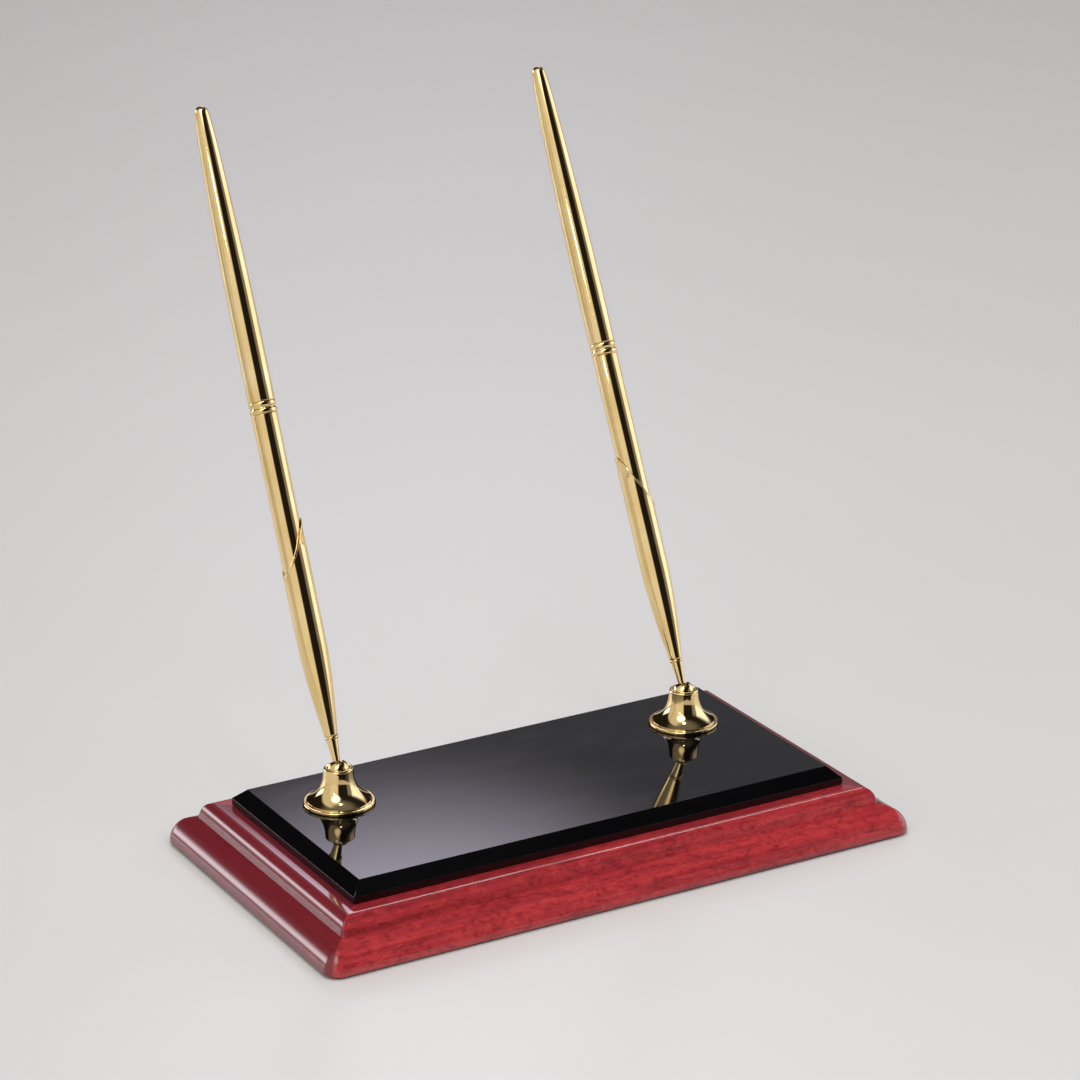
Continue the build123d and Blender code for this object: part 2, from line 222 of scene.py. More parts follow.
def moulded(rows, name, n=10, side_cuts=0, sharp=38.0, weighted=True):
    """rows: (half x, half y, corner radius, z) from the bottom face upward."""
    bm = bmesh.new()
    loops = []
    for hx, hy, rad, z in rows:
        loops.append([bm.verts.new((x * MM, y * MM, zz * MM)) for x, y, zz in rect_loop(hx, hy, rad, z, n)])
    m = len(loops[0])
    for a, b in zip(loops, loops[1:]):
        for k in range(m):
            q = (a[k], a[(k + 1) % m], b[(k + 1) % m], b[k])
            bm.faces.new(q)
    bm.faces.new(list(reversed(loops[0])))
    bm.faces.new(loops[-1])
    return to_object(bm, name, None, sharp, weighted)


def bored(obj, holes, weighted=True):
    """Drills round holes (x, y, r, z0, z1) straight through a piece, in mm."""
    for x, y, r, z0, z1 in holes:
        bm = bmesh.new()
        bmesh.ops.create_cone(bm, cap_ends=True, segments=64, radius1=r * MM, radius2=r * MM, depth=(z1 - z0) * MM,
                              matrix=Matrix.Translation((x * MM, y * MM, (z0 + z1) / 2 * MM)))
        mesh = bpy.data.meshes.new("cutter")
        bm.to_mesh(mesh)
        bm.free()
        cutter = bpy.data.objects.new("cutter", mesh)
        scene.collection.objects.link(cutter)
        bake_modifier(obj, "BOOLEAN", operation="DIFFERENCE", solver="EXACT", object=cutter)
        bpy.data.objects.remove(cutter)
        bpy.data.meshes.remove(mesh)
    for f in obj.data.polygons:
        f.use_smooth = True
    obj.data.set_sharp_from_angle(angle=radians(38))
    if weighted:
        bake_modifier(obj, "WEIGHTED_NORMAL", keep_sharp=True, mode="FACE_AREA", weight=80)
    return obj


# ------------------------------------------------------------------ materials
class Nodes:
    """Short way to write a material's node tree."""

    def __init__(self, name):
        self.mat = bpy.data.materials.new(name)
        self.mat.use_nodes = True
        self.t = self.mat.node_tree
        self.t.nodes.clear()
        self.out = self.t.nodes.new("ShaderNodeOutputMaterial")
        self.bsdf = self.t.nodes.new("ShaderNodeBsdfPrincipled")
        self.t.links.new(self.bsdf.outputs[0], self.out.inputs[0])
        self.x = 0

    def add(self, kind, **props):
        n = self.t.nodes.new(kind)
        self.x -= 40
        n.location = (self.x, 0)
        for k, v in props.items():
            setattr(n, k, v)
        return n

    def link(self, a, b):
        self.t.links.new(a, b)

    def coords(self, scale=(1, 1, 1), rotate=(0, 0, 0), shift=(0, 0, 0)):
        tc = self.add("ShaderNodeTexCoord")
        m = self.add("ShaderNodeMapping")
        m.inputs["Scale"].default_value = scale
        m.inputs["Rotation"].default_value = rotate
        m.inputs["Location"].default_value = shift
        self.link(tc.outputs["Object"], m.inputs["Vector"])
        return m.outputs["Vector"]

    def noise(self, vec, scale=1.0, detail=3.0, rough=0.5, distortion=0.0):
        n = self.add("ShaderNodeTexNoise")
        n.inputs["Scale"].default_value = scale
        n.inputs["Detail"].default_value = detail
        n.inputs["Roughness"].default_value = rough
        n.inputs["Distortion"].default_value = distortion
        self.link(vec, n.inputs["Vector"])
        return n.outputs["Fac"]

    def voronoi(self, vec, scale=1.0, feature="F1", out="Distance", rand=1.0):
        n = self.add("ShaderNodeTexVoronoi", feature=feature)
        n.inputs["Scale"].default_value = scale
        n.inputs["Randomness"].default_value = rand
        self.link(vec, n.inputs["Vector"])
        return n.outputs[out]

    def ramp(self, fac, stops, interp="LINEAR"):
        n = self.add("ShaderNodeValToRGB")
        n.color_ramp.interpolation = interp
        els = n.color_ramp.elements
        while len(els) > 1:
            els.remove(els[-1])
        els[0].position = stops[0][0]
        els[0].color = self.rgba(stops[0][1])
        for pos, col in stops[1:]:
            e = els.new(pos)
            e.color = self.rgba(col)
        self.link(fac, n.inputs["Fac"])
        return n.outputs["Color"]

    @staticmethod
    def rgba(c):
        if isinstance(c, (int, float)):
            return (c, c, c, 1)
        return (c[0], c[1], c[2], 1)

    def span(self, fac, lo, hi, a=0.0, b=1.0, smooth=False):
        n = self.add("ShaderNodeMapRange")
        n.interpolation_type = "SMOOTHSTEP" if smooth else "LINEAR"
        n.inputs["From Min"].default_value = a
        n.inputs["From Max"].default_value = b
        n.inputs["To Min"].default_value = lo
        n.inputs["To Max"].default_value = hi
        self.link(fac, n.inputs["Value"])
        return n.outputs["Result"]

    def math(self, op, a, b=None, clamp=False):
        n = self.add("ShaderNodeMath", operation=op, use_clamp=clamp)
        for i, v in enumerate((a, b)):
            if v is None:
                continue
            if isinstance(v, (int, float)):
                n.inputs[i].default_value = v
            else:
                self.link(v, n.inputs[i])
        return n.outputs[0]

    def mix(self, fac, a, b, blend="MIX"):
        n = self.add("ShaderNodeMix", data_type="RGBA", blend_type=blend)
        for sock, v in ((n.inputs[0], fac), (n.inputs[6], a), (n.inputs[7], b)):
            if isinstance(v, (int, float)):
                sock.default_value = v if sock.type == "VALUE" else (v, v, v, 1)
            elif isinstance(v, (tuple, list)):
                sock.default_value = self.rgba(v)
            else:
                self.link(v, sock)
        return n.outputs[2]

    def bump(self, height, strength, distance, after=None):
        n = self.add("ShaderNodeBump")
        n.inputs["Strength"].default_value = strength
        n.inputs["Distance"].default_value = distance
        self.link(height, n.inputs["Height"])
        if after is not None:
            self.link(after, n.inputs["Normal"])
        return n.outputs["Normal"]

    def set(self, **values):
        for k, v in values.items():
            sock = self.bsdf.inputs[k.replace("_", " ")]
            if isinstance(v, (int, float)):
                sock.default_value = v
            elif isinstance(v, (tuple, list)):
                sock.default_value = self.rgba(v)
            else:
                self.link(v, sock)
        return self


def gold_material(name, tint=1.0, along="Z", polish=0.055):
    """Gold plate on turned brass: polished, with faint turning marks, hairlines
    from handling, a few dulled patches and small changes of colour."""
    m = Nodes(name)
    broad = m.noise(m.coords((70, 70, 70)), 1.0, 2.0, 0.5)
    cloud = m.noise(m.coords((420, 420, 420)), 1.0, 4.0, 0.6)
    colour = m.ramp(broad, [(0.30, (0.86 * tint, 0.615 * tint, 0.265 * tint)), (0.55, (0.93 * tint, 0.70 * tint, 0.345 * tint)),
                            (0.75, (0.96 * tint, 0.755 * tint, 0.42 * tint))])
    colour = m.mix(m.span(cloud, 0.0, 0.25, 0.45, 0.75), colour, (0.80 * tint, 0.54 * tint, 0.22 * tint))
    turning = m.noise(m.coords((60, 60, 9000)), 1.0, 2.0, 0.6)
    hair = m.noise(m.coords((3800, 3800, 260), (0.35, 0.2, 0.0)), 1.0, 3.0, 0.7)
    hair = m.span(hair, 0.0, 1.0, 0.62, 0.74)
    dull = m.span(m.noise(m.coords((160, 160, 55), (0, 0, 0), (3.1, 0, 7.7)), 1.0, 3.0, 0.55), 0.0, 1.0, 0.52, 0.74, True)
    rough = m.math("ADD", m.math("MULTIPLY", dull, 0.075), m.math("MULTIPLY", hair, 0.05))
    rough = m.math("ADD", rough, m.math("MULTIPLY", cloud, 0.03))
    rough = m.math("ADD", rough, polish, clamp=True)
    wave = m.noise(m.coords((240, 240, 90)), 1.0, 1.0, 0.5)
    normal = m.bump(wave, 0.10, 0.00004)
    normal = m.bump(turning, 0.05, 0.000006, normal)
    normal = m.bump(hair, 0.05, 0.000004, normal)
    m.set(Base_Color=colour, Metallic=1.0, Roughness=rough, Normal=normal)
    return m.mat


def rosewood_material(name):
    """Red rosewood under a thick clear lacquer. The grain runs along X on the
    long sides and turns along Y past the mitres, where it is quieter; the short ends are also mixed toward a dark red,
    a painted shade that makes those sides darker."""
    m = Nodes(name)
    tc = m.add("ShaderNodeTexCoord")
    xyz = m.add("ShaderNodeSeparateXYZ")
    m.link(tc.outputs["Object"], xyz.inputs[0])
    past = m.math("SUBTRACT", m.math("ABSOLUTE", xyz.outputs[0]), m.math("ABSOLUTE", xyz.outputs[1]))
    end = m.span(past, 0.0, 1.0, 0.0427, 0.0433)
    dark, low, mid = (0.105, 0.0075, 0.0120), (0.25, 0.0180, 0.0250), (0.36, 0.0260, 0.0340)
    light, deep = (0.46, 0.0380, 0.0430), (0.31, 0.0220, 0.0300)

    def figure(along):
        sc = (lambda a, b, c: (a, b, c)) if along else (lambda a, b, c: (b, a, c))
        band = m.noise(m.coords(sc(5.5, 120, 190), (0.03, 0.05, 0.02)), 1.0, 5.0, 0.58, 0.55)
        fig = m.noise(m.coords(sc(46, 105, 110), (0, 0, 0.35)), 1.0, 3.0, 0.55, 0.9)
        base = m.ramp(band, [(0.28, low), (0.42, mid), (0.52, mid), (0.62, light), (0.76, deep)])
        return m.mix(m.span(fig, 0.0, 0.45, 0.48, 0.72, True), base, (0.52, 0.044, 0.044))

    streak = m.noise(m.coords((16, 620, 760), (0.0, 0.02, 0.015)), 1.0, 5.0, 0.62, 0.3)
    warp = m.noise(m.coords((7, 55, 55)), 1.0, 3.0, 0.55)
    pores = m.noise(m.coords((85, 2600, 2600)), 1.0, 2.0, 0.5)
    long_side = figure(True)
    long_side = m.mix(m.span(streak, 0.0, 0.50, 0.50, 0.70), long_side, dark)
    long_side = m.mix(m.span(warp, 0.0, 0.28, 0.42, 0.20, True), long_side, dark)
    pore_mask = m.span(pores, 0.0, 1.0, 0.63, 0.72)
    long_side = m.mix(m.math("MULTIPLY", pore_mask, 0.6), long_side, (0.04, 0.003, 0.005))
    # Short ends: the Y-running grain mixed 66 % toward a dark red. This is painted shade that darkens the end sides
    # against the long sides.
    short_end_grain_and_painted_shade = m.mix(0.66, figure(False), (0.055, 0.0075, 0.0165))
    base = m.mix(end, long_side, short_end_grain_and_painted_shade)
    mottle = m.noise(m.coords((250, 420, 420), (0, 0, 0.15)), 1.0, 4.0, 0.62, 0.7)
    fleck = m.noise(m.coords((640, 1050, 1050), (0, 0, -0.2), (0.3, 1.1, 2.0)), 1.0, 3.0, 0.6, 0.4)
    base = m.mix(m.span(mottle, 0.0, 0.58, 0.50, 0.66, True), base, (0.17, 0.0110, 0.0170))
    base = m.mix(m.span(fleck, 0.0, 0.45, 0.53, 0.68, True), base, (0.12, 0.0085, 0.0130))
    glow = m.math("MULTIPLY", m.span(mottle, 0.0, 0.42, 0.46, 0.32, True), m.span(end, 1.0, 0.12, 0.0, 1.0))
    base = m.mix(glow, base, (0.54, 0.0520, 0.0450))
    rough = m.math("ADD", m.span(streak, 0.30, 0.42, 0.3, 0.7), m.math("MULTIPLY", pore_mask, 0.12), clamp=True)
    peel = m.noise(m.coords((330, 330, 330)), 1.0, 2.0, 0.45)
    sink = m.noise(m.coords((30, 900, 900)), 1.0, 3.0, 0.5)
    normal = m.bump(peel, 0.06, 0.00003)
    normal = m.bump(sink, 0.04, 0.000012, normal)
    m.set(Base_Color=base, Roughness=rough, Normal=normal, Coat_Weight=1.0, Coat_Roughness=0.03, Coat_IOR=1.52,
          IOR=1.46, Specular_IOR_Level=0.12)
    coat_n = m.bump(peel, 0.03, 0.00003)
    m.link(coat_n, m.bsdf.inputs["Coat Normal"])
    return m.mat


def black_glass_material(name):
    """Polished black glass: faint wipe marks, a little settled dust, float waviness."""
    m = Nodes(name)
    smear = m.noise(m.coords((22, 60, 60), (0, 0, 0.5)), 1.0, 4.0, 0.6, 0.8)
    wipe = m.noise(m.coords((55, 900, 900), (0, 0, 0.55)), 1.0, 3.0, 0.6)
    dust = m.noise(m.coords((2600, 2600, 2600)), 1.0, 1.0, 0.4)
    speck = m.span(dust, 0.0, 1.0, 0.80, 0.86)
    colour = m.mix(m.span(smear, 0.0, 1.0, 0.3, 0.8), (0.0015, 0.0014, 0.0018), (0.0032, 0.0030, 0.0035))
    colour = m.mix(m.math("MULTIPLY", speck, 0.35), colour, (0.16, 0.155, 0.15))
    rough = m.math("ADD", m.span(smear, 0.012, 0.055, 0.35, 0.75, True), m.math("MULTIPLY", m.span(wipe, 0.0, 1.0, 0.52, 0.78), 0.03))
    rough = m.math("ADD", rough, m.math("MULTIPLY", speck, 0.4), clamp=True)
    float_wave = m.noise(m.coords((26, 26, 26)), 1.0, 1.0, 0.4)
    m.set(Base_Color=colour, Roughness=rough, Normal=m.bump(float_wave, 0.012, 0.00005), IOR=1.52, Specular_IOR_Level=0.5)
    return m.mat


def felt_material(name):
    m = Nodes(name)
    fib = m.noise(m.coords((1500, 1500, 1500), (0.2, 0.3, 0.7)), 1.0, 6.0, 0.72, 1.2)
    mat_ = m.noise(m.coords((120, 120, 120)), 1.0, 4.0, 0.6)
    strands = m.noise(m.coords((500, 5200, 2600), (0, 0, 0.9)), 1.0, 4.0, 0.7, 2.0)
    colour = m.ramp(fib, [(0.25, (0.010, 0.020, 0.014)), (0.5, (0.024, 0.046, 0.032)), (0.75, (0.055, 0.090, 0.066))])
    colour = m.mix(m.span(mat_, 0.0, 0.35, 0.4, 0.7), colour, (0.016, 0.030, 0.022))
    height = m.math("ADD", fib, m.math("MULTIPLY", strands, 0.6))
    m.set(Base_Color=colour, Roughness=m.span(fib, 0.82, 0.98, 0.2, 0.8), Normal=m.bump(height, 0.8, 0.00022),
          Sheen_Weight=0.55, Sheen_Roughness=0.5, Specular_IOR_Level=0.2)
    return m.mat


def plastic_material(name, light, dark, rough_lo, rough_hi, grain=1600, strength=0.25, metallic=0.0, spec=0.5):
    m = Nodes(name)
    fine = m.noise(m.coords((grain, grain, grain)), 1.0, 3.0, 0.55)
    broad = m.noise(m.coords((130, 130, 130)), 1.0, 3.0, 0.5)
    colour = m.mix(m.span(broad, 0.0, 1.0, 0.3, 0.7), dark, light)
    colour = m.mix(m.span(fine, 0.0, 0.25, 0.45, 0.8), colour, dark)
    m.set(Base_Color=colour, Roughness=m.span(fine, rough_lo, rough_hi, 0.25, 0.75), Metallic=metallic,
          Normal=m.bump(fine, strength, 0.00002), Specular_IOR_Level=spec)
    return m.mat


def metal_material(name, light, dark, rough_lo, rough_hi, lines=(200, 200, 5200), strength=0.15):
    m = Nodes(name)
    line = m.noise(m.coords(lines), 1.0, 3.0, 0.6)
    spot = m.noise(m.coords((380, 380, 380)), 1.0, 4.0, 0.6)
    colour = m.mix(m.span(spot, 0.0, 1.0, 0.35, 0.7), light, dark)
    m.set(Base_Color=colour, Metallic=1.0, Roughness=m.span(line, rough_lo, rough_hi, 0.3, 0.7),
          Normal=m.bump(line, strength, 0.00001))
    return m.mat


MATS = {
    "rosewood": rosewood_material("rosewood"),
    "felt": felt_material("felt"),
    "adhesive": plastic_material("adhesive", (0.05, 0.05, 0.05), (0.03, 0.03, 0.03), 0.6, 0.8),
    "black_glass": black_glass_material("black_glass"),
    "gold": gold_material("gold"),
    "gold_barrel": gold_material("gold_barrel", 1.0, "Z", 0.045),
    "nylon": plastic_material("nylon", (0.70, 0.67, 0.58), (0.58, 0.55, 0.46), 0.38, 0.5),
    "black_liner": plastic_material("black_liner", (0.026, 0.026, 0.028), (0.012, 0.012, 0.013), 0.34, 0.5, 2200, 0.3),
    "rubber": plastic_material("rubber", (0.022, 0.022, 0.022), (0.012, 0.012, 0.012), 0.6, 0.8),
    "steel": metal_material("steel", (0.62, 0.62, 0.63), (0.42, 0.42, 0.42), 0.22, 0.4),
    "refill_brass": metal_material("refill_brass", (0.80, 0.58, 0.27), (0.62, 0.42, 0.17), 0.16, 0.34),
    "refill_plastic": plastic_material("refill_plastic", (0.03, 0.05, 0.30), (0.02, 0.03, 0.20), 0.22, 0.34),
    "tip_steel": metal_material("tip_steel", (0.70, 0.70, 0.71), (0.56, 0.56, 0.56), 0.10, 0.22),
    "carbide": metal_material("carbide", (0.32, 0.32, 0.34), (0.22, 0.22, 0.24), 0.08, 0.16),
}
for s in frame["record"]["subparts"]:
    node = frame["nodes"].get(s["node"])
    if node is not None:
        for ms in node.material_slots:
            ms.material = MATS[s["material_slot"]]


def dress(obj, slot, body, *nodes):
    obj.data.materials.clear()
    obj.data.materials.append(MATS[slot])
    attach(obj, body)
    if nodes:
        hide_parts(*nodes)
    return obj


# ------------------------------------------------------------------------ base
MITRE_R = 0.45
profile = [(FOOT_R + 1.2, FELT_T, CORNER_R)]
profile += [(FOOT_R - FOOT_R * sin(radians(90 * k / 5)), FELT_T + FOOT_R - FOOT_R * cos(radians(90 * k / 5)), CORNER_R)
            for k in range(6)]
lower_round = smooth_through(LOWER_ROUND, 6)
upper_round = [(QUIRK + i, z) for i, z in smooth_through(UPPER_ROUND, 6)]
profile += [(i, z, CORNER_R) for i, z in lower_round[1:-1]]
profile += [(QUIRK, LOWER_ROUND[-1][1], CORNER_R), (QUIRK, LOWER_ROUND[-1][1], UPPER_CORNER_R + QUIRK)]
profile += [(i, z, UPPER_CORNER_R + QUIRK) for i, z in upper_round[1:]]
profile += [(QUIRK + UPPER_ROUND[-1][0] + 1.0, WOOD_TOP, UPPER_CORNER_R + QUIRK)]
rows = [(BASE_L / 2 - i, BASE_D / 2 - i, max(c - i, MITRE_R), z) for i, z, c in profile]
wood = moulded(rows, "wood_base_block", n=8)
holes = []
for sx in (-1, 1):
    holes += [(sx * HOLDER_X, HOLDER_Y, 2.2, 0, 16), (sx * HOLDER_X, HOLDER_Y, 7.0, 0, 5.0)]
bored(wood, holes)
dress(wood, "rosewood", "stand", "wood_base")

# glass plate: ground bevel with fine arrises
plate_profile = softened([(60.0, PLATE_BOTTOM), (0.0, PLATE_BOTTOM, 0.18), (0.0, PLATE_TOP - BEVEL_H, 0.14),
                          (BEVEL_W, PLATE_TOP, 0.16), (60.0, PLATE_TOP)], closed=False, steps=3)
plate_rows = []
for i, z in plate_profile[1:-1]:
    plate_rows.append((BASE_L / 2 - PLATE_INSET - i, BASE_D / 2 - PLATE_INSET - i, 0.16, z))
plate = moulded(plate_rows, "black_glass_top", n=4)
bored(plate, [(sx * HOLDER_X, HOLDER_Y, 3.0, 13, 21) for sx in (-1, 1)])
dress(plate, "black_glass", "stand", "black_glass_plate")

# felt: cut by hand, so its edge wanders a little and its rim is fluffed
bm = bmesh.new()
cols, rws = 97, 55
hx, hy = BASE_L / 2 - FELT_INSET, BASE_D / 2 - FELT_INSET
top, bot = {}, {}
for i in range(cols):
    for j in range(rws):
        u, v = -1 + 2 * i / (cols - 1), -1 + 2 * j / (rws - 1)
        x, y = u * hx, v * hy
        cr = 3.0
        dx, dy = abs(x) - (hx - cr), abs(y) - (hy - cr)
        if dx > 0 and dy > 0:
            k = max(dx, dy) / sqrt(dx * dx + dy * dy)
            x = (hx - cr + dx * k) * (1 if x > 0 else -1)
            y = (hy - cr + dy * k) * (1 if y > 0 else -1)
        edge = i in (0, cols - 1) or j in (0, rws - 1)
        if edge:
            w = 0.10 + 0.10 * noise.noise(Vector((x * 0.35, y * 0.35, 1.7)))
            x -= w * (1 if x > 0 else -1) * (1 if i in (0, cols - 1) else 0)
            y -= w * (1 if y > 0 else -1) * (1 if j in (0, rws - 1) else 0)
        lift = 0.05 * (0.5 + 0.5 * noise.noise(Vector((x * 0.9, y * 0.9, 4.2))))
        zb = lift if not edge else 0.26
        zt = FELT_T if not edge else FELT_T - 0.06
        top[i, j] = bm.verts.new((x * MM, y * MM, zt * MM))
        bot[i, j] = bm.verts.new((x * MM, y * MM, zb * MM))
for i in range(cols - 1):
    for j in range(rws - 1):
        bm.faces.new((top[i, j], top[i + 1, j], top[i + 1, j + 1], top[i, j + 1]))
        bm.faces.new((bot[i, j + 1], bot[i + 1, j + 1], bot[i + 1, j], bot[i, j]))
for i in range(cols - 1):
    bm.faces.new((bot[i, 0], bot[i + 1, 0], top[i + 1, 0], top[i, 0]))
    bm.faces.new((top[i, rws - 1], top[i + 1, rws - 1], bot[i + 1, rws - 1], bot[i, rws - 1]))
for j in range(rws - 1):
    bm.faces.new((top[0, j], top[0, j + 1], bot[0, j + 1], bot[0, j]))
    bm.faces.new((bot[cols - 1, j], bot[cols - 1, j + 1], top[cols - 1, j + 1], top[cols - 1, j]))
felt = to_object(bm, "felt_sheet", None, 60)
dress(felt, "felt", "stand", "base_felt")

# --------------------------------------------------------------------- holders
lip_r = sqrt(SOCKET_R ** 2 - LIP_Z ** 2)
BORE_FOOT = BALL_Z - 3.7
socket_hi = degrees(asin(LIP_Z / SOCKET_R))
flare = smooth_through([(9.8, 1.5), (8.95, 2.0), (7.6, 3.0), (6.4, 4.3), (5.5, 5.9), (4.95, 7.5), (4.66, 9.2), (4.52, 10.8)], 7)
LIP_TOP = BALL_Z + LIP_Z
bell_outline = softened(
    [(7.25, 0.0, 0.1), (10.75, 0.0, 0.2), (11.0, 0.25, 0.2), (11.0, 0.7)]
    + arc_pts(10.6, 0.7, 0.4, 0, 90, 9)[1:]
    + [(10.1, 1.1, 0.06), (9.95, 0.98, 0.05), (9.8, 1.1, 0.05), (9.8, 1.5, 0.08)]
    + flare[1:]
    + [(4.52, 11.0)] + arc_pts(3.87, 11.05, 0.65, 0, 90, 9)[0:]
    + [(3.87, LIP_TOP, 0.05), (lip_r, LIP_TOP, 0.05)]
    + list(reversed(arc_pts(0, BALL_Z, SOCKET_R, 0, socket_hi, 9)))[1:]
    + [(SOCKET_R, BORE_FOOT), (4.0, BORE_FOOT), (4.0, 6.05), (7.25, 2.5)])
seat_pts = []
for k in range(9):
    h = 0.9 + (1.72 - 0.9) * k / 8
    seat_pts.append((sqrt(3.49 ** 2 - h ** 2), BALL_Z - h))
seat_outline = softened([(3.46, BALL_Z - 3.0, 0.08), (3.46, BALL_Z - 0.9, 0.05)] + seat_pts + [(3.0, BALL_Z - 1.95), (3.0, BALL_Z - 3.0, 0.08)])
a_mouth, a_floor = degrees(asin(BALL_MOUTH / BALL_R)), degrees(asin(BALL_FLOOR / BALL_R))
ball_arc = arc_pts(0, 0, BALL_R, a_floor, a_mouth, 41)
ball_outline = softened(
    [(1.75, BALL_FLOOR, 0.08), (ball_arc[0][0], ball_arc[0][1], 0.1)] + ball_arc[1:-1]
    + [(ball_arc[-1][0], ball_arc[-1][1], 0.06), (1.95, BALL_MOUTH, 0.05), (1.95, BALL_MOUTH - 0.5), (1.75, BALL_MOUTH - 0.5)])
liner_outline = softened([(1.30, -3.1, 0.05), (1.70, -2.7, 0.1), (1.70, BALL_MOUTH - 0.5), (1.90, BALL_MOUTH - 0.5),
                          (1.90, BALL_MOUTH - 0.06, 0.08), (1.42, BALL_MOUTH - 0.06, 0.14), (1.17, 2.25, 0.1), (0.83, -3.0), (0.83, -3.1)])

# ------------------------------------------------------------------------ pens
upper_curve = [(2.22, tail_z(2.5)), (2.47, tail_z(5.0)), (2.75, tail_z(9.0)), (2.98, tail_z(14.0)), (3.20, tail_z(20.0)),
               (3.41, tail_z(27.0)), (3.61, tail_z(35.0)), (3.80, tail_z(43.0)), (3.96, tail_z(52.0)), (4.06, tail_z(62.0)),
               (4.11, tail_z(74.0))]
tail_cap = smooth_through([(2.22, tail_z(2.5)), (1.93, tail_z(1.2)), (1.22, tail_z(0.33)), (0.0, TAIL)], 8)
upper_outline = softened(
    [(UPPER_BORE, BAND_HI, 0.04), (3.95, BAND_HI, 0.06), (4.12, BAND_HI + 0.2, 0.1), (4.12, tail_z(84.0))]
    + list(reversed(smooth_through(upper_curve, 5))) + tail_cap[1:]
    + [(0.0, tail_z(3.2)), (1.5, tail_z(5.5)), (2.0, tail_z(13.0)), (2.85, tail_z(32.0)), (3.3, tail_z(48.0)), (UPPER_BORE, tail_z(64.0))])
band_mid = (BAND_LO + BAND_HI) / 2
band_outline = softened(
    [(3.62, BAND_LO), (3.90, BAND_LO, 0.03)]
    + smooth_through([(3.92, BAND_LO + 0.03), (4.1, BAND_LO + 0.25), (4.2, BAND_LO + 0.8), (4.1, BAND_LO + 1.4), (3.86, band_mid - 0.20)], 6)
    + [(3.80, band_mid, 0.08)]
    + smooth_through([(3.86, band_mid + 0.20), (4.1, BAND_HI - 1.4), (4.2, BAND_HI - 0.8), (4.1, BAND_HI - 0.25), (3.92, BAND_HI - 0.03)], 6)
    + [(3.90, BAND_HI, 0.03), (3.62, BAND_HI)])
lower_outline = softened([(LOWER_BORE, 42.0), (LOWER_R, 42.0), (LOWER_R, 60.0), (LOWER_R, 78.0), (LOWER_R, 94.0), (LOWER_R, BAND_LO - 0.2, 0.12),
                          (LOWER_R - 0.2, BAND_LO, 0.06), (LOWER_BORE, BAND_LO)])
ogive = smooth_through([(SLEEVE_R, 39.5), (4.36, 36.5), (4.22, 33.0), (3.98, 29.0), (3.66, 25.0), (3.27, 21.0), (2.83, 17.0),
                        (2.36, 13.2), (2.02, NOSE_END)], 6)
nose_ring_outline = softened(
    [(1.22, NOSE_END - 0.9), (1.9, NOSE_END - 0.9)]
    + smooth_through([(1.9, NOSE_END - 0.9), (2.07, NOSE_END - 0.72), (2.12, NOSE_END - 0.45), (2.07, NOSE_END - 0.18), (1.9, NOSE_END)], 5)
    + [(1.22, NOSE_END)])
CONE_TOP = NOSE_END - 0.9
nose_cone_outline = softened(
    [(1.22, CONE_TOP), (1.78, CONE_TOP)] + smooth_through([(1.78, CONE_TOP), (1.62, 7.8), (1.36, 5.2), (1.125, BALL_MOUTH)], 7)
    + [(0.76, -3.0, 0.06), (0.56, -3.0, 0.04), (0.56, 2.0), (0.75, 3.0), (0.75, 7.5), (1.22, 8.6)])


def slanted(r, dz):
    """A station on the slanted edge, dz above or below its plane, at radius r."""
    def at(a, r=r, dz=dz):
        return r, SLANT_Z + dz - SLANT_SLOPE * r * cos(a)
    return at


def between(r, z_low, dz, s):
    """A station a share s of the way from height z_low to the slanted edge."""
    def at(a, r=r, z_low=z_low, dz=dz, s=s):
        return r, z_low + (SLANT_Z + dz - SLANT_SLOPE * r * cos(a) - z_low) * s
    return at


sleeve_stations = [(1.22, NOSE_END), (1.96, NOSE_END), (2.02, NOSE_END + 0.06)]
sleeve_stations += list(reversed(ogive))[1:]
sleeve_stations += [between(SLEEVE_R, 39.5, -1.32, k / 8) for k in range(1, 9)]
sleeve_stations += [slanted(4.455, -1.26), slanted(4.50, -1.14), slanted(SLEEVE_LIP_R, -0.98), slanted(SLEEVE_LIP_R, -0.60),
                    slanted(SLEEVE_LIP_R, -0.28), slanted(4.505, -0.10), slanted(4.44, 0.0), slanted(4.25, 0.0), slanted(4.08, -0.02),
                    slanted(3.99, -0.16)]
sleeve_stations += [between(3.985, 42.0, -0.4, k / 6) for k in range(6, -1, -1)]
sleeve_stations += [(3.2, 42.0), (3.2, 34.0), (2.6, 27.0), (1.55, 20.0), (1.55, 16.0), (1.22, 13.0)]

THREAD_LO, THREAD_HI, PITCH = 112.8, 122.6, 0.75


def threaded(z):
    def at(a, z=z):
        phase = (z / PITCH - a / (2 * pi)) % 1.0
        depth = 0.30 * (0.5 + 0.5 * cos(2 * pi * phase)) ** 0.7
        fade = max(0.0, min(1.0, (z - THREAD_LO) / 0.6)) * max(0.0, min(1.0, (THREAD_HI - z) / 0.6))
        return 3.54 - depth * fade, z
    return at


coupling_stations = [(2.7, 96.0), (3.40, 96.0), (3.497, 96.1), (3.497, 102.0), (3.497, BAND_LO), (3.54, BAND_LO), (3.54, 111.0), (3.54, THREAD_LO)]
zz = THREAD_LO + 0.1
while zz < THREAD_HI:
    coupling_stations.append(threaded(zz))
    zz += 0.09
coupling_stations += [(3.54, THREAD_HI), (3.54, 123.3), (3.45, 123.6), (3.1, 124.0), (2.8, 124.0), (2.7, 123.9)]

